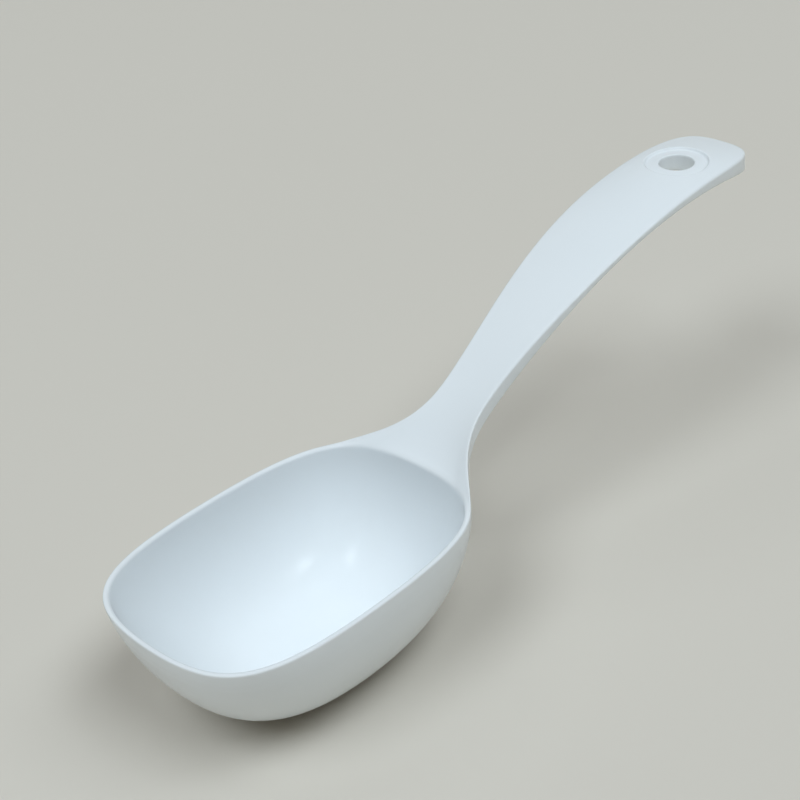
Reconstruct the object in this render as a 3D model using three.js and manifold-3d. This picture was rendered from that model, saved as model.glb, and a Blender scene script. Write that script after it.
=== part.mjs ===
// Soup ladle: one white plastic moulding, an open rounded-rectangular bowl on a curved strap handle.
// Millimetres, +Z up. The origin is the middle of the flat under the bowl, and the handle runs along +X.
import * as THREE from 'three';
import { mergeVertices } from 'three/addons/utils/BufferGeometryUtils.js';
import Module from 'manifold-3d';

// Bowl, measured over the outside
const rimHeight = 40.5;
const rimLength = 100.2;
const rimFrontWidth = 72.6;
const rimBackWidth = 69.6;
const rimSetback = 3; // how far the middle of the rim lies in front of the middle of the base
const rimFullness = 0.807; // reach of each corner curve: 0.55 is an ellipse, 1 is a rectangle
const baseLength = 26;
const baseWidth = 14;
const baseFullness = 0.64;
const wallFullness = 0.55; // how far the wall stays upright before it turns under the bowl
const wallThickness = 1.7;
const floorThickness = 2;
const rimRounding = 0.5;

// Side profile of the handle: the line along the edge of its top face, from the rim to the tip
const handleLength = 139.9; // from the back of the rim to the tip
const tipRise = 43.7; // from the rim up to the tip
const rootOverlap = 12.1; // how far before the back of the rim the flare leaves it
const rootRise = 3; // degrees
const rootReach = 24;
const tipDroop = 7.3; // degrees
const tipReach = 83;

// Plan of the handle: half widths of the flare, the waist, the widest place and the round tip
const flareReach = 13.7;
const waistDistance = 19.4; // from the back of the rim to the waist
const waistHalfWidth = 8.6;
const waistReachBack = 16.3;
const waistReachOn = 18.6;
const gripDistance = 80; // from the waist to the widest place
const gripHalfWidth = 14.7;
const gripReachBack = 42.5;
const gripReachOn = 32.5;
const tipFullness = 14.3;
const tipFlat = 1.2; // half width of the small flat on the very end

// Thickness of the strap along its edge
const rootThickness = 4.3;
const waistThickness = 5.4;
const middleDistance = 49.5; // from the waist to the thinnest place
const middleThickness = 2.05;
const holeThickness = 3.4;
const tipThickness = 6.2;
const edgeRounding = 0.55;

// How far the middle of the top face stands over its edge, and that of the underside hangs below its edge
const creaseHollow = -3.1;
const waistHollow = -0.7;
const middleCrown = 0.9;
const holeCrown = 2.1;
const tipCrown = 0.2;
const creaseBelly = 2.8;
const waistBelly = 1;
const middleBelly = 0.6;
const holeBelly = 0.9;

// Hanging hole, in a shallow round recess
const holeSetback = 23.7; // from the tip to the middle of the hole
const holeDiameter = 10.6;
const recessDiameter = 19.4;
const recessDepth = 0.9;

// The neck region starts this far behind the rim and ends at the waist
const neckDistance = 1.9;

// Fineness of the facets
const quarterSteps = 12;
const wallSteps = 11;
const flareSteps = 10;
const gripSteps = 16;
const tipSteps = 14;
const sectionSteps = 10;
const roundSides = 40;

const plastic = { color: '#e6ecf0', roughness: 0.42, metalness: 0 };

// Places along the ladle that follow from the sizes above
const rimCentreX = -rimSetback;
const rimEndX = rimCentreX + rimLength / 2;
const rootX = rimEndX - rootOverlap;
const neckStartX = rimEndX + neckDistance;
const waistX = rimEndX + waistDistance;
const middleX = waistX + middleDistance;
const gripX = waistX + gripDistance;
const tipX = rimEndX + handleLength;
const holeX = tipX - holeSetback;
const tipHeight = rimHeight + tipRise;
const clearHeight = tipHeight + tipRise; // above everything, where the cutting shapes end

const wasm = await Module();
wasm.setup();

const mix = THREE.MathUtils.lerp;
const radians = THREE.MathUtils.degToRad;

function flatPoint(x, y) {
  return new THREE.Vector2(x, y);
}

// Point of a curve that runs steadily along X, found at a given x
function pointAtX(curve, x) {
  let low = 0;
  let high = 1;
  for (let pass = 0; pass < 40; pass += 1) {
    const middle = (low + high) / 2;
    if (curve.getPoint(middle).x < x) low = middle;
    else high = middle;
  }
  return curve.getPoint((low + high) / 2);
}

// One quarter of an oval that can be filled out towards its corner
function quarterCurve(length, width, fullness) {
  return new THREE.CubicBezierCurve(
    flatPoint(length, 0),
    flatPoint(length, width * fullness),
    flatPoint(length * fullness, width),
    flatPoint(0, width),
  );
}

// Closed outline of the bowl at one height, anticlockwise from above, narrower at the back
function bowlRing(halfLength, halfFront, halfBack, fullness, centreX, z) {
  const quarter = quarterCurve(1, 1, fullness).getPoints(quarterSteps);
  const turned = quarter.map((p) => flatPoint(-p.y, p.x));
  const half = [...quarter.slice(0, -1), ...turned.slice(0, -1)];
  const whole = [...half, ...half.map((p) => flatPoint(-p.x, -p.y))];
  return whole.map((p) => {
    const halfWidth = mix(halfFront, halfBack, (p.x + 1) / 2);
    return new THREE.Vector3(centreX + p.x * halfLength, p.y * halfWidth, z);
  });
}

// Skin through rings with the same number of points, closed at both ends by the given faces
function loft(rings, capFaces) {
  const count = rings[0].length;
  const positions = rings.flat().flatMap((p) => [p.x, p.y, p.z]);
  const faces = [];
  for (let ring = 0; ring + 1 < rings.length; ring += 1) {
    for (let i = 0; i < count; i += 1) {
      const a = ring * count + i;
      const b = ring * count + ((i + 1) % count);
      faces.push(a, b, b + count, a, b + count, a + count);
    }
  }
  const last = (rings.length - 1) * count;
  for (const [a, b, c] of capFaces(count)) {
    faces.push(a, c, b, last + a, last + b, last + c);
  }
  const geometry = new THREE.BufferGeometry();
  geometry.setAttribute('position', new THREE.Float32BufferAttribute(positions, 3));
  geometry.setIndex(faces);
  return geometry;
}

// End face of a round ring, as strips between its two sides
function ovalCap(count) {
  const faces = [];
  for (let i = 0; i + 1 < count / 2; i += 1) {
    const j = count - 1 - i;
    faces.push([i, i + 1, j]);
    if (j - 1 > i + 1) faces.push([i + 1, j - 1, j]);
  }
  return faces;
}

function solidFrom(geometry) {
  const bare = geometry.clone();
  bare.deleteAttribute('normal');
  bare.deleteAttribute('uv');
  const merged = mergeVertices(bare);
  const vertProperties = new Float32Array(merged.attributes.position.array);
  const triVerts = new Uint32Array(merged.index.array);
  return new wasm.Manifold(new wasm.Mesh({ numProp: 3, vertProperties, triVerts }));
}

function geometryFrom(solid) {
  const mesh = solid.getMesh();
  const geometry = new THREE.BufferGeometry();
  geometry.setAttribute('position', new THREE.BufferAttribute(mesh.vertProperties, 3));
  geometry.setIndex(new THREE.BufferAttribute(mesh.triVerts, 1));
  geometry.computeVertexNormals();
  return geometry;
}

// Rings of the bowl's wall from its floor up to just under the rim, drawn in by an inset all round
function wallRings(inset, floorZ) {
  const wall = quarterCurve(1, 1, wallFullness);
  const rings = [];
  for (let step = 0; step <= wallSteps; step += 1) {
    const p = wall.getPoint(1 - step / wallSteps);
    const spread = p.x;
    const z = mix(rimHeight - rimRounding, floorZ, p.y);
    rings.push(bowlRing(
      mix(baseLength / 2, rimLength / 2 - inset, spread),
      mix(baseWidth / 2, rimFrontWidth / 2 - inset, spread),
      mix(baseWidth / 2, rimBackWidth / 2 - inset, spread),
      mix(rimFullness, baseFullness, p.y),
      mix(rimCentreX, 0, p.y),
      z,
    ));
  }
  return rings;
}

function rimRing(inset, z) {
  return bowlRing(
    rimLength / 2 - inset,
    rimFrontWidth / 2 - inset,
    rimBackWidth / 2 - inset,
    rimFullness,
    rimCentreX,
    z,
  );
}

// Outside of the bowl, filled in, with the outer edge of the rim rounded over
function bowlOutside() {
  const rings = wallRings(0, 0);
  for (const turn of [30, 60, 90]) {
    const inset = rimRounding * (1 - Math.cos(radians(turn)));
    rings.push(rimRing(inset, rimHeight - rimRounding * (1 - Math.sin(radians(turn)))));
  }
  return solidFrom(loft(rings, ovalCap));
}

// Hollow of the bowl, with the inner edge of the rim rounded, carried up clear of the neck
function bowlHollow() {
  const rings = wallRings(wallThickness, floorThickness);
  for (const turn of [45, 90]) {
    const spread = rimRounding * (1 - Math.cos(radians(turn)));
    const z = rimHeight - rimRounding * (1 - Math.sin(radians(turn)));
    rings.push(rimRing(wallThickness - spread, z));
  }
  rings.push(rimRing(wallThickness - rimRounding, clearHeight));
  return solidFrom(loft(rings, ovalCap));
}

// Plan of the handle: the flare leaves the rim along its own outline
const { v0, v1, v2, v3 } = quarterCurve(1, 1, rimFullness);
const rimBack = new THREE.CubicBezierCurve(v3, v2, v1, v0);
function rimPoint(x) {
  const reached = pointAtX(rimBack, (x - rimCentreX) / (rimLength / 2));
  const halfWidth = mix(rimFrontWidth, rimBackWidth, (reached.x + 1) / 2) / 2;
  return flatPoint(x, reached.y * halfWidth - rimRounding);
}

const flareStart = rimPoint(rootX);
const flareAlong = rimPoint(rootX + 1).sub(flareStart).normalize();
const flare = new THREE.CubicBezierCurve(
  flareStart,
  flareStart.clone().addScaledVector(flareAlong, flareReach),
  flatPoint(waistX - waistReachBack, waistHalfWidth),
  flatPoint(waistX, waistHalfWidth),
);
const grip = new THREE.CubicBezierCurve(
  flatPoint(waistX, waistHalfWidth),
  flatPoint(waistX + waistReachOn, waistHalfWidth),
  flatPoint(gripX - gripReachBack, gripHalfWidth),
  flatPoint(gripX, gripHalfWidth),
);
const tip = new THREE.CubicBezierCurve(
  flatPoint(gripX, gripHalfWidth),
  flatPoint(gripX + gripReachOn, gripHalfWidth),
  flatPoint(tipX, tipFullness),
  flatPoint(tipX, tipFlat),
);

// Side profile of the handle's edge, and the runs of its thickness and crown
const profileRoot = flatPoint(rootX, rimHeight);
const profileTip = flatPoint(tipX, tipHeight);
const rootPull = flatPoint(rootReach, 0).rotateAround(flatPoint(0, 0), radians(rootRise));
const tipPull = flatPoint(-tipReach, 0).rotateAround(flatPoint(0, 0), radians(-tipDroop));
const sideProfile = new THREE.CubicBezierCurve(
  profileRoot,
  profileRoot.clone().add(rootPull),
  profileTip.clone().add(tipPull),
  profileTip,
);
const thicknessRun = new THREE.SplineCurve([
  flatPoint(rootX, rootThickness),
  flatPoint(waistX, waistThickness),
  flatPoint(middleX, middleThickness),
  flatPoint(holeX, holeThickness),
  flatPoint(tipX, tipThickness),
]);
const crownRun = new THREE.SplineCurve([
  flatPoint(rootX, 0),
  flatPoint(rimEndX, creaseHollow),
  flatPoint(waistX, waistHollow),
  flatPoint(middleX, middleCrown),
  flatPoint(holeX, holeCrown),
  flatPoint(tipX, tipCrown),
]);

const bellyRun = new THREE.SplineCurve([
  flatPoint(rootX, 0),
  flatPoint(rimEndX, creaseBelly),
  flatPoint(waistX, waistBelly),
  flatPoint(middleX, middleBelly),
  flatPoint(holeX, holeBelly),
  flatPoint(tipX, 0),
]);

// One upright section of the strap, as points along its top face and back along its underside
function strapSection(x, halfWidth) {
  const edgeZ = pointAtX(sideProfile, x).y;
  const crown = pointAtX(crownRun, x).y;
  const thickness = pointAtX(thicknessRun, x).y;
  const belly = pointAtX(bellyRun, x).y;
  const rounding = Math.min(edgeRounding, halfWidth / 4);
  const top = [];
  const under = [];
  for (let step = 0; step <= sectionSteps; step += 1) {
    const across = 1 - (2 * step) / sectionSteps;
    const y = across * (halfWidth - rounding);
    const bow = 1 - across * across;
    top.push(new THREE.Vector3(x, y, edgeZ + crown * bow));
    under.unshift(new THREE.Vector3(x, y, edgeZ - thickness - belly * bow));
  }
  const sides = [1, -1].map((side) => [
    new THREE.Vector3(x, side * halfWidth, edgeZ - rounding),
    new THREE.Vector3(x, side * halfWidth, edgeZ - thickness + rounding),
  ]);
  const [left, right] = sides;
  return [left[0], ...top, right[0], right[1], ...under, left[1]];
}

function strap() {
  const plan = [
    ...flare.getPoints(flareSteps),
    ...grip.getPoints(gripSteps).slice(1),
    ...tip.getPoints(tipSteps).slice(1),
  ];
  return solidFrom(loft(plan.map((p) => strapSection(p.x, p.y)), ovalCap));
}

// Upright round bar through the handle at the hole, used to cut the hole and its recess
function roundBar(diameter) {
  const bar = new THREE.CylinderGeometry(diameter / 2, diameter / 2, clearHeight, roundSides);
  bar.rotateX(Math.PI / 2);
  bar.translate(holeX, 0, clearHeight / 2);
  return solidFrom(bar);
}

// Block that keeps the part of the moulding between two places along the handle
function slice(startX, endX) {
  const wide = 2 * Math.max(rimFrontWidth, rimBackWidth);
  const block = new THREE.BoxGeometry(endX - startX, wide, 2 * clearHeight);
  block.translate((startX + endX) / 2, 0, 0);
  return solidFrom(block);
}

// The floor of the recess follows the crowned top face, so the recess is cut down to a lowered copy of the strap
const wholeStrap = strap();
const recess = roundBar(recessDiameter).subtract(wholeStrap.translate([0, 0, -recessDepth]));
const moulding = bowlOutside()
  .add(wholeStrap)
  .subtract(bowlHollow())
  .subtract(recess)
  .subtract(roundBar(holeDiameter));

const farFront = rimCentreX - rimLength;
const farBack = tipX + rimLength;
const regions = {
  bowl: [farFront, neckStartX],
  neck: [neckStartX, waistX],
  handle: [waistX, farBack],
};

const ladle = new THREE.Group();
ladle.name = 'soup_ladle';
for (const [name, [startX, endX]] of Object.entries(regions)) {
  const region = moulding.intersect(slice(startX, endX));
  const mesh = new THREE.Mesh(geometryFrom(region), new THREE.MeshStandardMaterial(plastic));
  mesh.name = name;
  ladle.add(mesh);
}

export default ladle;
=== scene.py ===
from math import atan2, cos, radians, sin

import bmesh
import bpy
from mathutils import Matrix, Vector
from mathutils.kdtree import KDTree


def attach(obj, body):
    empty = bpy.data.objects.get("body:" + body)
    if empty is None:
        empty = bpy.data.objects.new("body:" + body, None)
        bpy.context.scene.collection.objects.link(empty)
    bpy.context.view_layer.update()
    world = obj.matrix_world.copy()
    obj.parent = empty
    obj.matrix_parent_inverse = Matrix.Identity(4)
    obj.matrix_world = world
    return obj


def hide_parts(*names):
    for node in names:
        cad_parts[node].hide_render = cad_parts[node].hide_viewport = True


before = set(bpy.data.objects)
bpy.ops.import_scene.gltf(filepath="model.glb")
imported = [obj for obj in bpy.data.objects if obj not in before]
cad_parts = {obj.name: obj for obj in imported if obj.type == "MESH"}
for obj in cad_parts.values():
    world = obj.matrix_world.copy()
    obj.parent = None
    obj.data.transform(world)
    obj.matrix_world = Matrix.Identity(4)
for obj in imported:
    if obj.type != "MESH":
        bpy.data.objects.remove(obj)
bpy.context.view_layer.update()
print("frame loaded:", ", ".join(sorted(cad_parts)))

# Sizes in metres, angles in degrees
ladle = {
    # bowl, over the outside
    "rimHeight": 0.0405,
    "rimLength": 0.1002,
    "rimFrontWidth": 0.0726,
    "rimBackWidth": 0.0696,
    "rimSetback": 0.003,        # middle of the rim in front of the middle of the base
    "rimFullness": 0.807,       # 0.55 is an ellipse, 1 is a rectangle
    "baseLength": 0.026,
    "baseWidth": 0.014,
    "baseFullness": 0.64,
    "wallFullness": 0.55,       # how far the wall stays upright before it turns under
    "wallThickness": 0.0017,
    "floorThickness": 0.002,
    # handle from the side: the edge of its top face
    "handleLength": 0.1399,
    "tipRise": 0.0437,
    "rootOverlap": 0.0121,      # how far before the back of the rim the handle starts to rise
    "rootRise": 3,
    "rootReach": 0.024,
    "tipDroop": 7.3,
    "tipReach": 0.083,
    # handle from above
    "flareReach": 0.0145,
    "flareAim": 1.2,            # rim steps ahead that the flare points at where it leaves the rim
    "waistDistance": 0.0194,    # behind the rim
    "waistHalfWidth": 0.0086,
    "waistReachBack": 0.0163,
    "waistReachOn": 0.0186,
    "gripDistance": 0.080,      # behind the waist
    "gripHalfWidth": 0.0147,
    "gripReachBack": 0.0425,
    "gripReachOn": 0.0325,
    "tipFullness": 0.0143,
    "tipFlat": 0.0012,
    # thickness along the edge, then the middle of the top over its edge and of the underside below its edge
    "middleDistance": 0.0495,   # thinnest place, behind the waist
    "rootThickness": 0.0043,
    "waistThickness": 0.0054,
    "middleThickness": 0.00205,
    "holeThickness": 0.0034,
    "tipThickness": 0.0062,
    "creaseHollow": -0.0031,
    "waistHollow": -0.0007,
    "middleCrown": 0.0009,
    "holeCrown": 0.0021,
    "tipCrown": 0.0002,
    "creaseBelly": 0.0028,
    "waistBelly": 0.001,
    "middleBelly": 0.0006,
    "holeBelly": 0.0009,
    # hanging hole
    "holeSetback": 0.0237,      # in front of the tip
    "holeDiameter": 0.0106,
    "recessDiameter": 0.0194,
    "recessDepth": 0.0009,
    "holePatch": 0.012,         # half length of the square that the rings of the hole fill
    # softness of the edges
    "edgeSoft": 0.0011,
    "rimInnerDrop": 0.00045,    # the rim rolls over further on its inside than on its outside
    "rimOuterDrop": 0.00015,
    "creaseSoft": 0.0013,
    "fillet": 0.0012,
    "lip": 0.0003,              # of the hole and its recess
    "softLimit": 0.4,           # largest share of the thickness that a soft edge takes
    "seamDepth": 2.5,           # soft edges between the handle's bottom line and the outer seam
    "bandLines": (0.35, 0.65),  # shares of the rim's band where its two lines lie
    "creaseLimit": 0.45,        # largest shares of the band that crease and edge take on the neck
    "edgeLimit": 0.35,
    "rimBlend": 3,              # rim steps over which the rim's edge turns into the flare's
    "spreadFade": 1.5,          # how fast the rows of the neck lose the bowl's curve
    "topFade": 3.5,             # how fast its two faces lose the height of the seam
    "underFade": 5,
    # fineness of the cage
    "quarterSteps": 16,
    "rootStep": 9,              # rim step where the flare leaves the rim
    "neckStep": 4,              # rim step where the neck's columns start
    "neckShare": 0.43,          # share of the flare that lies beside the rim
    "neckSpread": 0.8,          # share of the half width that the neck's columns take
    "edgeSpread": 0.1,          # share between the columns outside them
    "wallSteps": 11,
    "flareRows": 9,
    "gripRows": 20,
    "holeRows": 10,
    "tipRows": 5,
    "tipCorner": 0.7,           # share of the tip's curve where its rows turn the corner
    "smoothing": 2,
    "searchTurns": 30,
    "sameSpot": 0.00001,        # centres this close belong to one face
    "weldGap": 0.00002,
}


def mix(a, b, share):
    return a + (b - a) * share


def ease(share):
    share = min(max(share, 0), 1)
    return share * share * (3 - 2 * share)


def flat(x, y):
    return Vector((x, y))


def bezier(points, share):
    while len(points) > 1:
        points = [mix(a, b, share) for a, b in zip(points, points[1:])]
    return points[0]


def lastShare(holds):
    # last share of a curve for which the test holds
    low, high = 0, 1
    for turn in range(ladle["searchTurns"]):
        middle = (low + high) / 2
        if holds(middle):
            low = middle
        else:
            high = middle
    return low


def shareAtX(points, x):
    return lastShare(lambda share: bezier(points, share).x < x)


def bezierAtX(points, x):
    return bezier(points, shareAtX(points, x))


def runAt(stations, x):
    # smooth line through stations of place and value
    x = min(max(x, stations[0][0]), stations[-1][0])
    spot = max(i for i, station in enumerate(stations[:-1]) if station[0] <= x)
    (x0, v0), (x1, v1) = stations[spot], stations[spot + 1]
    before = stations[max(spot - 1, 0)]
    after = stations[min(spot + 2, len(stations) - 1)]
    span = x1 - x0
    slope0 = (v1 - before[1]) / (x1 - before[0]) * span
    slope1 = (after[1] - v0) / (after[0] - x0) * span
    t = (x - x0) / span
    rise = ease(t)
    return mix(v0, v1, rise) + slope0 * t * (1 - t) ** 2 - slope1 * t * t * (1 - t)


# Places along the ladle
rimX = -ladle["rimSetback"]
rimEndX = rimX + ladle["rimLength"] / 2
rootX = rimEndX - ladle["rootOverlap"]
waistX = rimEndX + ladle["waistDistance"]
middleX = waistX + ladle["middleDistance"]
gripX = waistX + ladle["gripDistance"]
tipX = rimEndX + ladle["handleLength"]
holeX = tipX - ladle["holeSetback"]
rimZ = ladle["rimHeight"]
tipZ = rimZ + ladle["tipRise"]
ringCount = 4 * ladle["quarterSteps"]


# Bowl: a point of its skin at one step round it

def roundUnit(step, fullness):
    quarter, part = divmod(step % ringCount, ladle["quarterSteps"])
    corner = [flat(1, 0), flat(1, fullness), flat(fullness, 1), flat(0, 1)]
    point = bezier(corner, part / ladle["quarterSteps"])
    for turn in range(int(quarter)):
        point = flat(-point.y, point.x)
    return point


def bowlPoint(step, inset, spread, drop, z):
    unit = roundUnit(step, mix(ladle["rimFullness"], ladle["baseFullness"], drop))
    front = mix(ladle["baseWidth"] / 2, ladle["rimFrontWidth"] / 2 - inset, spread)
    back = mix(ladle["baseWidth"] / 2, ladle["rimBackWidth"] / 2 - inset, spread)
    length = mix(ladle["baseLength"] / 2, ladle["rimLength"] / 2 - inset, spread)
    halfWidth = mix(front, back, (unit.x + 1) / 2)
    return Vector((mix(rimX, 0, drop) + unit.x * length, unit.y * halfWidth, z))


def rimPoint(step, inset):
    return bowlPoint(step, inset, 1, 0, rimZ)


# drop below the rim and spread of the wall, as shares
wallCurve = [flat(0, 1), flat(ladle["wallFullness"], 1), flat(1, ladle["wallFullness"]), flat(1, 0)]


def wallShare(z, floorZ):
    # share of the wall's curve at a height
    return lastShare(lambda share: mix(rimZ, floorZ, bezier(wallCurve, share).x) > z)


def wallPoint(step, share, inset, floorZ):
    drop, spread = bezier(wallCurve, share)
    return bowlPoint(step, inset, spread, drop, mix(rimZ, floorZ, drop))


def outerPoint(step, z):
    return wallPoint(step, wallShare(z, 0), 0, 0)


# Handle: its outline from above, its edge from the side, and the heights of its two faces

rootStep = ladle["rootStep"]
neckStep = ladle["neckStep"]
flareStart = rimPoint(rootStep, 0).to_2d()
flareAlong = (rimPoint(rootStep - ladle["flareAim"], 0).to_2d() - flareStart).normalized()
flareCurve = [
    flareStart,
    flareStart + flareAlong * ladle["flareReach"],
    flat(waistX - ladle["waistReachBack"], ladle["waistHalfWidth"]),
    flat(waistX, ladle["waistHalfWidth"]),
]
gripCurve = [
    flat(waistX, ladle["waistHalfWidth"]),
    flat(waistX + ladle["waistReachOn"], ladle["waistHalfWidth"]),
    flat(gripX - ladle["gripReachBack"], ladle["gripHalfWidth"]),
    flat(gripX, ladle["gripHalfWidth"]),
]
tipCurve = [
    flat(gripX, ladle["gripHalfWidth"]),
    flat(gripX + ladle["gripReachOn"], ladle["gripHalfWidth"]),
    flat(tipX, ladle["tipFullness"]),
    flat(tipX, ladle["tipFlat"]),
]
rootAngle = radians(ladle["rootRise"])
tipAngle = radians(ladle["tipDroop"])
sideCurve = [
    flat(rootX, rimZ),
    flat(rootX, rimZ) + flat(cos(rootAngle), sin(rootAngle)) * ladle["rootReach"],
    flat(tipX, tipZ) + flat(-cos(tipAngle), sin(tipAngle)) * ladle["tipReach"],
    flat(tipX, tipZ),
]
thicknessRun = [
    (rootX, ladle["rootThickness"]),
    (waistX, ladle["waistThickness"]),
    (middleX, ladle["middleThickness"]),
    (holeX, ladle["holeThickness"]),
    (tipX, ladle["tipThickness"]),
]
crownRun = [
    (rootX, 0),
    (rimEndX, ladle["creaseHollow"]),
    (waistX, ladle["waistHollow"]),
    (middleX, ladle["middleCrown"]),
    (holeX, ladle["holeCrown"]),
    (tipX, ladle["tipCrown"]),
]
bellyRun = [
    (rootX, 0),
    (rimEndX, ladle["creaseBelly"]),
    (waistX, ladle["waistBelly"]),
    (middleX, ladle["middleBelly"]),
    (holeX, ladle["holeBelly"]),
    (tipX, 0),
]


def edgeHeight(x):
    return bezierAtX(sideCurve, x).y


def halfWidthAt(x):
    if x < waistX:
        return bezierAtX(flareCurve, x).y
    if x < gripX:
        return bezierAtX(gripCurve, x).y
    return bezierAtX(tipCurve, x).y


def bow(x, y):
    # 1 along the middle of the handle, 0 at its edges
    across = min(abs(y) / halfWidthAt(x), 1)
    return 1 - across * across


def topHeight(x, y):
    return edgeHeight(x) + runAt(crownRun, x) * bow(x, y)


def underHeight(x, y):
    return edgeHeight(x) - runAt(thicknessRun, x) - runAt(bellyRun, x) * bow(x, y)


# Outline of the handle on its left side: beside the rim, along the rows, round the tip to the middle

rowCount = ladle["flareRows"] + ladle["gripRows"] + ladle["holeRows"] + ladle["tipRows"]
bandCount = len(ladle["bandLines"])
columnCount = 2 * (neckStep + bandCount) + 1
middleColumn = columnCount // 2
patchStart = ladle["flareRows"] + ladle["gripRows"]
patchEnd = patchStart + ladle["holeRows"]


def outlineRow(row):
    flareEnd = ladle["flareRows"]
    if row <= flareEnd:
        return bezier(flareCurve, mix(ladle["neckShare"], 1, row / flareEnd))
    if row <= patchEnd:
        if row <= patchStart:
            x = mix(waistX, holeX - ladle["holePatch"], (row - flareEnd) / ladle["gripRows"])
        else:
            x = holeX + ladle["holePatch"] * mix(-1, 1, (row - patchStart) / ladle["holeRows"])
        return flat(x, halfWidthAt(x))
    return bezier(tipCurve, mix(tipShare, ladle["tipCorner"], (row - patchEnd) / ladle["tipRows"]))


tipShare = shareAtX(tipCurve, holeX + ladle["holePatch"])
besideRim = [
    bezier(flareCurve, ladle["neckShare"] * (rootStep - step) / (rootStep - neckStep))
    for step in range(rootStep, neckStep, -1)
]
alongRows = [outlineRow(row) for row in range(rowCount + 1)]
roundTip = [
    bezier(tipCurve, mix(ladle["tipCorner"], 1, i / (middleColumn - 1)))
    for i in range(1, middleColumn)
]
leftOutline = besideRim + alongRows + roundTip + [flat(tipX, 0)]


def outward(index):
    before = leftOutline[max(index - 1, 0)]
    if index + 1 < len(leftOutline):
        after = leftOutline[index + 1]
    else:
        after = flat(before.x, -before.y)
    along = (after - before).normalized()
    return flat(-along.y, along.x)


leftInset = [point - outward(i) * ladle["edgeSoft"] for i, point in enumerate(leftOutline)]
rowStart = len(besideRim)
tipStart = rowStart + rowCount


def mirrored(point, side):
    return Vector((point.x, point.y * side, *point[2:]))


# The two skins: "top" is the inside of the bowl with the handle's top face,
# "under" is the outside of the bowl with the handle's underside

def neckEase(step):
    return ease((rootStep - abs(step)) / (rootStep - neckStep))


def seamPoint(skin, step):
    # where the bowl's wall meets the rim's band or the neck
    if skin == "top":
        point = rimPoint(step, ladle["wallThickness"])
        point.z -= ladle["rimInnerDrop"] * (1 - neckEase(step))
        return point
    frontZ = rimZ - ladle["rootThickness"] - ladle["seamDepth"] * ladle["edgeSoft"]
    if abs(step) >= rootStep:
        return outerPoint(step, frontZ)
    wall = rimPoint(step, 0)
    backZ = underHeight(max(wall.x, rootX), wall.y) - ladle["fillet"]
    return outerPoint(step, mix(frontZ, backZ, neckEase(step)))


def beltPoints(index, side):
    # the edge from its top line down its side to its bottom line
    point = leftOutline[index]
    z = edgeHeight(point.x)
    thickness = runAt(thicknessRun, point.x)
    soft = min(ladle["edgeSoft"], ladle["softLimit"] * thickness)
    heights = [z, z - soft, z - thickness + soft, z - thickness]
    return [mirrored(Vector((point.x, point.y, height)), side) for height in heights]


def rimBelt(step):
    # the same edge where it is only the bowl's rim
    depths = [
        ladle["rimOuterDrop"],
        ladle["edgeSoft"],
        ladle["rootThickness"] - ladle["edgeSoft"],
        ladle["rootThickness"],
    ]
    plain = [outerPoint(step, rimZ - depth) for depth in depths]
    if abs(step) > rootStep or abs(step) < neckStep:
        return plain
    side = 1 if step > 0 else -1
    flared = beltPoints(rootStep - abs(step), side)
    blend = ease((rootStep - abs(step)) / ladle["rimBlend"])
    return [a.lerp(b, blend) for a, b in zip(plain, flared)]


def bandPoints(skin, step):
    # two lines between the seam and the edge, counted from the seam
    seam = seamPoint(skin, step)
    belt = rimBelt(step)
    edge = belt[0] if skin == "top" else belt[-1]
    length = (edge.to_2d() - seam.to_2d()).length if skin == "top" else (edge - seam).length
    neck = neckEase(step)
    nearLine, farLine = ladle["bandLines"]
    near = mix(nearLine, min(ladle["creaseSoft"] / length, ladle["creaseLimit"]), neck)
    far = mix(farLine, 1 - min(ladle["edgeSoft"] / length, ladle["edgeLimit"]), neck)
    points = []
    for share in (near, far):
        point = seam.lerp(edge, share)
        if skin == "top":
            x = max(point.x, rootX)
            seamGap = rimZ - topHeight(max(seam.x, rootX), seam.y)
            curved = topHeight(x, point.y) + seamGap * (1 - share) ** 2
            point.z = mix(rimZ, curved, neck)
        points.append(point)
    return points


def frontSteps():
    return range(neckStep, ringCount - neckStep + 1)


def signedStep(step):
    return step if step <= ringCount / 2 else step - ringCount


def columnShare(column):
    # place across the handle, from 1 on its left to -1 on its right
    place = middleColumn - column
    if abs(place) <= neckStep:
        return ladle["neckSpread"] * place / neckStep
    share = ladle["neckSpread"] + ladle["edgeSpread"] * (abs(place) - neckStep)
    return share if place > 0 else -share


def firstRow(skin):
    left = bandPoints(skin, neckStep)[::-1]
    right = bandPoints(skin, -neckStep)
    seam = [seamPoint(skin, step) for step in range(neckStep, -neckStep - 1, -1)]
    return left + seam + right


def skinRow(skin, row):
    height = topHeight if skin == "top" else underHeight
    fade = ladle["topFade"] if skin == "top" else ladle["underFade"]
    start = firstRow(skin)
    if row == 0:
        return start
    inset = leftInset[rowStart + row]
    points = []
    for column in range(columnCount):
        side = 1 if column <= middleColumn else -1
        share = columnShare(column)
        x, y = inset.x, inset.y * share
        lift = 0
        if row < ladle["flareRows"]:
            part = row / ladle["flareRows"]
            first = start[column]
            x += (first.x - start[0].x) * (1 - part) ** ladle["spreadFade"]
            y = inset.y * mix(first.y / start[0].y, share, ease(part))
            gap = first.z - height(max(first.x, rootX), first.y)
            lift = gap * (1 - part) ** fade
        if row > patchEnd:
            part = (row - patchEnd) / ladle["tipRows"]
            end = leftInset[tipStart + min(column, columnCount - 1 - column)]
            corner = leftInset[tipStart]
            x += (end.x - corner.x) * part
            y = inset.y * mix(share, side * end.y / corner.y, part)
        points.append(Vector((x, y, height(x, y) + lift)))
    return points


# Edit mode helpers

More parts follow.
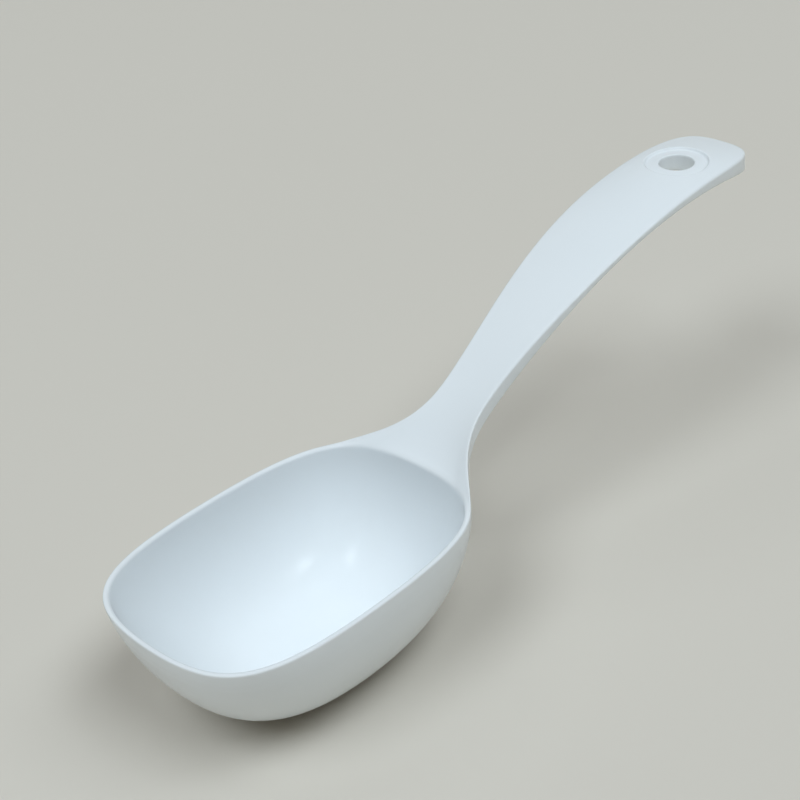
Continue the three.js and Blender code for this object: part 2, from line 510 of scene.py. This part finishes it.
def startMesh(name, count, points):
    bpy.ops.object.select_all(action="DESELECT")
    bpy.ops.mesh.primitive_circle_add(vertices=count, radius=1, fill_type="NOTHING")
    piece = bpy.context.object
    piece.name = name
    for vertex, point in zip(piece.data.vertices, points):
        vertex.co = point
    bpy.ops.object.mode_set(mode="EDIT")
    bpy.ops.mesh.select_mode(type="EDGE")
    return piece


def editMesh():
    return bmesh.from_edit_mesh(bpy.context.edit_object.data)


def treeOf(points):
    tree = KDTree(len(points))
    for i, point in enumerate(points):
        tree.insert(point, i)
    tree.balance()
    return tree


def selectChain(points, closed=False):
    bpy.ops.mesh.select_all(action="DESELECT")
    mesh = editMesh()
    mesh.verts.ensure_lookup_table()
    tree = treeOf([vertex.co for vertex in mesh.verts])
    found = [mesh.verts[tree.find(point)[1]] for point in points]
    pairs = list(zip(found, found[1:]))
    if closed:
        pairs.append((found[-1], found[0]))
    for a, b in pairs:
        edge = next(edge for edge in a.link_edges if edge.other_vert(a) == b)
        edge.select_set(True)
    bmesh.update_edit_mesh(bpy.context.edit_object.data)


def extrudeTo(before, after):
    bpy.ops.mesh.extrude_region()
    mesh = editMesh()
    tree = treeOf(before)
    for vertex in mesh.verts:
        if vertex.select:
            vertex.co = after[tree.find(vertex.co)[1]]
    bmesh.update_edit_mesh(bpy.context.edit_object.data)
    return after


def holeRing(loop, radius, height, lift):
    points = []
    for point in loop:
        angle = atan2(point.y, point.x - holeX)
        x = holeX + radius * cos(angle)
        y = radius * sin(angle)
        points.append(Vector((x, y, height(x, y) + lift)))
    return points


def openHole(rows, rings):
    # faces of the patch go, and its border is drawn in to the hole ring by ring
    inner = [row[bandCount:-bandCount] for row in rows]
    right = [row[-1] for row in inner[1:]]
    left = [row[0] for row in inner[-2:0:-1]]
    loop = inner[0] + right + inner[-1][-2::-1] + left
    middles = [
        (a[i] + a[i + 1] + b[i] + b[i + 1]) / 4
        for a, b in zip(inner, inner[1:])
        for i in range(len(a) - 1)
    ]
    tree = treeOf(middles)
    bpy.ops.mesh.select_all(action="DESELECT")
    mesh = editMesh()
    for face in mesh.faces:
        face.select_set(tree.find(face.calc_center_median())[2] < ladle["sameSpot"])
    bmesh.update_edit_mesh(bpy.context.edit_object.data)
    bpy.ops.mesh.delete(type="FACE")
    selectChain(loop, closed=True)
    last = loop
    for ring in rings:
        last = extrudeTo(last, holeRing(loop, *ring))


holeR = ladle["holeDiameter"] / 2
recessR = ladle["recessDiameter"] / 2
lip = ladle["lip"]


def recessFloor(x, y):
    # keeps to the crowned top
    return topHeight(x, y) - ladle["recessDepth"]


def holeMiddle(x, y):
    return (recessFloor(x, y) + underHeight(x, y)) / 2


# radius of each ring, the face that it follows and how far it lies above that
topRings = [
    (recessR + 2 * lip, topHeight, 0),
    (recessR + lip, topHeight, 0),
    (recessR, topHeight, -lip),
    (recessR - lip / 2, recessFloor, lip),
    (recessR - 2 * lip, recessFloor, 0),
    (recessR - 4 * lip, recessFloor, 0),
    (holeR + 3 * lip, recessFloor, 0),
    (holeR + lip, recessFloor, 0),
    (holeR, recessFloor, -lip),
    (holeR, holeMiddle, 0),
]
underRings = [
    (holeR + 6 * lip, underHeight, 0),
    (holeR + 3 * lip, underHeight, 0),
    (holeR + lip, underHeight, 0),
    (holeR, underHeight, lip),
    (holeR, holeMiddle, 0),
]


def makeSkin(skin):
    seam = [seamPoint(skin, signedStep(step)) for step in range(ringCount)]
    piece = startMesh(skin + "Skin", ringCount, seam)
    # band of the rim round the front
    front = [signedStep(step) for step in frontSteps()]
    chain = [seamPoint(skin, step) for step in front]
    selectChain(chain)
    for line in range(bandCount):
        chain = extrudeTo(chain, [bandPoints(skin, step)[line] for step in front])
    # handle, row by row from the neck to the tip
    rows = [skinRow(skin, row) for row in range(rowCount + 1)]
    selectChain(rows[0])
    for before, after in zip(rows, rows[1:]):
        extrudeTo(before, after)
    openHole(rows[patchStart:patchEnd + 1], topRings if skin == "top" else underRings)
    # wall of the bowl, ring by ring down to the floor
    inset = ladle["wallThickness"] if skin == "top" else 0
    floorZ = ladle["floorThickness"] if skin == "top" else 0
    selectChain(seam, closed=True)
    chain = seam
    starts = []
    for step in range(ringCount):
        z = seam[step].z
        if skin == "top":
            z -= mix(ladle["edgeSoft"], ladle["creaseSoft"], neckEase(signedStep(step)))
        starts.append(wallShare(z, floorZ))
    for line in range(0 if skin == "top" else 1, ladle["wallSteps"] + 1):
        part = line / ladle["wallSteps"]
        ring = [wallPoint(step, mix(starts[step], 1, part), inset, floorZ) for step in range(ringCount)]
        chain = extrudeTo(chain, ring)
    bpy.ops.mesh.fill_grid(span=ladle["quarterSteps"])
    bpy.ops.object.mode_set(mode="OBJECT")
    print(skin, "skin:", len(piece.data.polygons), "faces")
    return piece, rows


topSkin, topRows = makeSkin("top")
underSkin, underRows = makeSkin("under")


# Belt: the edge all round, from the top skin's border down to the underside's

def borderLoop(skin, rows):
    front = [bandPoints(skin, signedStep(step))[-1] for step in frontSteps()]
    right = [row[-1] for row in rows[1:]]
    tip = rows[-1][-2:0:-1]
    left = [row[0] for row in rows[:0:-1]]
    return front + right + tip + left


def edgeLoop(line):
    front = [rimBelt(signedStep(step))[line] for step in frontSteps()]
    right = [beltPoints(rowStart + row, -1)[line] for row in range(1, rowCount + 1)]
    tipIndexes = list(range(tipStart + 1, len(leftOutline)))
    tip = [beltPoints(i, -1)[line] for i in tipIndexes]
    tip += [beltPoints(i, 1)[line] for i in tipIndexes[-2::-1]]
    left = [beltPoints(rowStart + row, 1)[line] for row in range(rowCount, 0, -1)]
    return front + right + tip + left


def makeBelt():
    loop = borderLoop("top", topRows)
    piece = startMesh("edgeBelt", len(loop), loop)
    selectChain(loop, closed=True)
    for line in range(len(rimBelt(neckStep))):
        loop = extrudeTo(loop, edgeLoop(line))
    extrudeTo(loop, borderLoop("under", underRows))
    bpy.ops.object.mode_set(mode="OBJECT")
    print("edge belt:", len(piece.data.polygons), "faces")
    return piece


def joinSkins(name, pieces):
    bpy.ops.object.select_all(action="DESELECT")
    for piece in pieces:
        piece.select_set(True)
    bpy.context.view_layer.objects.active = pieces[0]
    bpy.ops.object.join()
    whole = bpy.context.object
    whole.name = name
    whole.data.name = name
    bpy.ops.object.mode_set(mode="EDIT")
    bpy.ops.mesh.select_all(action="SELECT")
    bpy.ops.mesh.remove_doubles(threshold=ladle["weldGap"])
    bpy.ops.mesh.normals_make_consistent(inside=False)
    bpy.ops.object.mode_set(mode="OBJECT")
    smooth = whole.modifiers.new("smoothSkin", "SUBSURF")
    smooth.levels = ladle["smoothing"]
    bpy.ops.object.modifier_apply(modifier=smooth.name)
    bpy.ops.object.shade_smooth()
    print(name + ":", len(whole.data.polygons), "faces")
    return whole


moulding = joinSkins("ladleMoulding", [topSkin, underSkin, makeBelt()])

# Satin white plastic
plastic = {
    "colour": (0.812, 0.854, 0.878, 1),
    "shade": (0.792, 0.837, 0.863, 1),
    "cloudScale": 38,
    "cloudDetail": 3,
    "roughness": (0.225, 0.265),    # a range across 0.27 renders blotchy when denoised
    "sheenScale": 120,
    "sheenDetail": 4,
    "glow": 0.2,                    # share of the light that travels inside the plastic
    "glowDepth": 0.002,
    "glowReach": (1, 1, 1),         # the same in red, green and blue
    "grainScale": 2400,             # fine texture of the mould
    "grainDetail": 2,
    "grainStrength": 0.08,
    "grainDepth": 0.00006,
}


def addNoise(nodes, links, place, scale, detail):
    noise = nodes.new("ShaderNodeTexNoise")
    noise.inputs["Scale"].default_value = scale
    noise.inputs["Detail"].default_value = detail
    links.new(place.outputs["Object"], noise.inputs["Vector"])
    return noise


def makePlastic():
    material = bpy.data.materials.new("satinWhitePlastic")
    material.use_nodes = True
    nodes, links = material.node_tree.nodes, material.node_tree.links
    shader = nodes["Principled BSDF"]
    shader.inputs["Subsurface Weight"].default_value = plastic["glow"]
    shader.inputs["Subsurface Scale"].default_value = plastic["glowDepth"]
    shader.inputs["Subsurface Radius"].default_value = plastic["glowReach"]
    place = nodes.new("ShaderNodeTexCoord")
    # faint clouds in the colour
    clouds = addNoise(nodes, links, place, plastic["cloudScale"], plastic["cloudDetail"])
    tone = nodes.new("ShaderNodeMix")
    tone.data_type = "RGBA"
    tone.inputs["A"].default_value = plastic["shade"]
    tone.inputs["B"].default_value = plastic["colour"]
    links.new(clouds.outputs["Fac"], tone.inputs["Factor"])
    links.new(tone.outputs["Result"], shader.inputs["Base Color"])
    # uneven satin
    satin = addNoise(nodes, links, place, plastic["sheenScale"], plastic["sheenDetail"])
    spread = nodes.new("ShaderNodeMapRange")
    least, most = plastic["roughness"]
    spread.inputs["To Min"].default_value = least
    spread.inputs["To Max"].default_value = most
    links.new(satin.outputs["Fac"], spread.inputs["Value"])
    links.new(spread.outputs["Result"], shader.inputs["Roughness"])
    # grain left by the mould
    grain = addNoise(nodes, links, place, plastic["grainScale"], plastic["grainDetail"])
    bump = nodes.new("ShaderNodeBump")
    bump.inputs["Strength"].default_value = plastic["grainStrength"]
    bump.inputs["Distance"].default_value = plastic["grainDepth"]
    links.new(grain.outputs["Fac"], bump.inputs["Height"])
    links.new(bump.outputs["Normal"], shader.inputs["Normal"])
    return material


moulding.data.materials.append(makePlastic())
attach(moulding, "root")
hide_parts("bowl", "neck", "handle")

# Stage, light and camera
studio = {
    "floorSize": 6,
    "floorColour": (0.66, 0.623, 0.556, 1),
    "floorRoughness": 0.8,
    "worldColour": (1, 0.85, 0.64, 1),
    "worldStrength": 0.1,
    "backdropColour": (0.47, 0.48, 0.45, 1),
    "lampColour": (0.84, 0.927, 1),
    "aim": (0.02, 0.02, 0.02),
    "cameraPlace": (-0.2313, -0.3085, 0.3302),
    "cameraTurn": (57.0, 5.39, -44.96),
    "cameraLens": 81,
    "cameraSensor": 36,
    "cameraNear": 0.01,
}
# panels light the ladle, and lamps with a glint make only highlights
lamps = {
    "nearPanel": {"place": (0.02, -4.2, 7.97), "size": 4.8, "power": 305, "glint": False},
    "rightPanel": {"place": (3.39, -3.35, 7.65), "size": 4.8, "power": 155, "glint": False},
    "frontPanel": {"place": (-4.75, 0.02, 7.65), "size": 4.8, "power": 338, "glint": False},
    "farPanel": {"place": (0.02, 4.52, 7.81), "size": 4.8, "power": 65, "glint": False},
    "frontLamp": {"place": (-4.42, -3.07, 7.83), "size": 1.2, "power": 48, "glint": True},
    "sideLamp": {"place": (0.85, -7.29, 6.04), "size": 1.2, "power": 40, "glint": True},
}

bpy.ops.object.select_all(action="DESELECT")
bpy.ops.mesh.primitive_plane_add(size=studio["floorSize"])
floor = bpy.context.object
floor.name = "floor"
floorPaint = bpy.data.materials.new("paleFloor")
floorPaint.use_nodes = True
floorShader = floorPaint.node_tree.nodes["Principled BSDF"]
floorShader.inputs["Base Color"].default_value = studio["floorColour"]
floorShader.inputs["Roughness"].default_value = studio["floorRoughness"]
floor.data.materials.append(floorPaint)

world = bpy.data.worlds.new("studioAir")
world.use_nodes = True
airNodes, airLinks = world.node_tree.nodes, world.node_tree.links
air = airNodes["Background"]
air.inputs["Color"].default_value = studio["worldColour"]
air.inputs["Strength"].default_value = studio["worldStrength"]
backdrop = airNodes.new("ShaderNodeBackground")
backdrop.inputs["Color"].default_value = studio["backdropColour"]
# the view and reflections show the backdrop, and the air lights the rest
seen = airNodes.new("ShaderNodeLightPath")
choice = airNodes.new("ShaderNodeMixShader")
backdropShare = seen.outputs["Is Camera Ray"]
for ray in ("Is Glossy Ray", "Is Transmission Ray"):
    either = airNodes.new("ShaderNodeMath")
    either.operation = "ADD"
    either.use_clamp = True
    airLinks.new(backdropShare, either.inputs[0])
    airLinks.new(seen.outputs[ray], either.inputs[1])
    backdropShare = either.outputs["Value"]
airLinks.new(backdropShare, choice.inputs["Fac"])
airLinks.new(air.outputs["Background"], choice.inputs[1])
airLinks.new(backdrop.outputs["Background"], choice.inputs[2])
airLinks.new(choice.outputs["Shader"], airNodes["World Output"].inputs["Surface"])
bpy.context.scene.world = world

for name, lamp in lamps.items():
    bpy.ops.object.light_add(type="AREA", location=lamp["place"])
    light = bpy.context.object
    light.name = name
    light.data.shape = "DISK"
    light.data.size = lamp["size"]
    light.data.energy = lamp["power"]
    light.data.color = studio["lampColour"]
    light.visible_glossy = lamp["glint"]
    light.visible_diffuse = not lamp["glint"]
    beam = Vector(studio["aim"]) - light.location
    light.rotation_euler = beam.to_track_quat("-Z", "Y").to_euler()
print("lamps:", ", ".join(lamps))

cameraTurn = [radians(turn) for turn in studio["cameraTurn"]]
bpy.ops.object.camera_add(location=studio["cameraPlace"], rotation=cameraTurn)
camera = bpy.context.object
camera.data.lens = studio["cameraLens"]
camera.data.sensor_width = studio["cameraSensor"]
camera.data.clip_start = studio["cameraNear"]
bpy.context.scene.camera = camera
bpy.context.scene.view_settings.view_transform = "Standard"
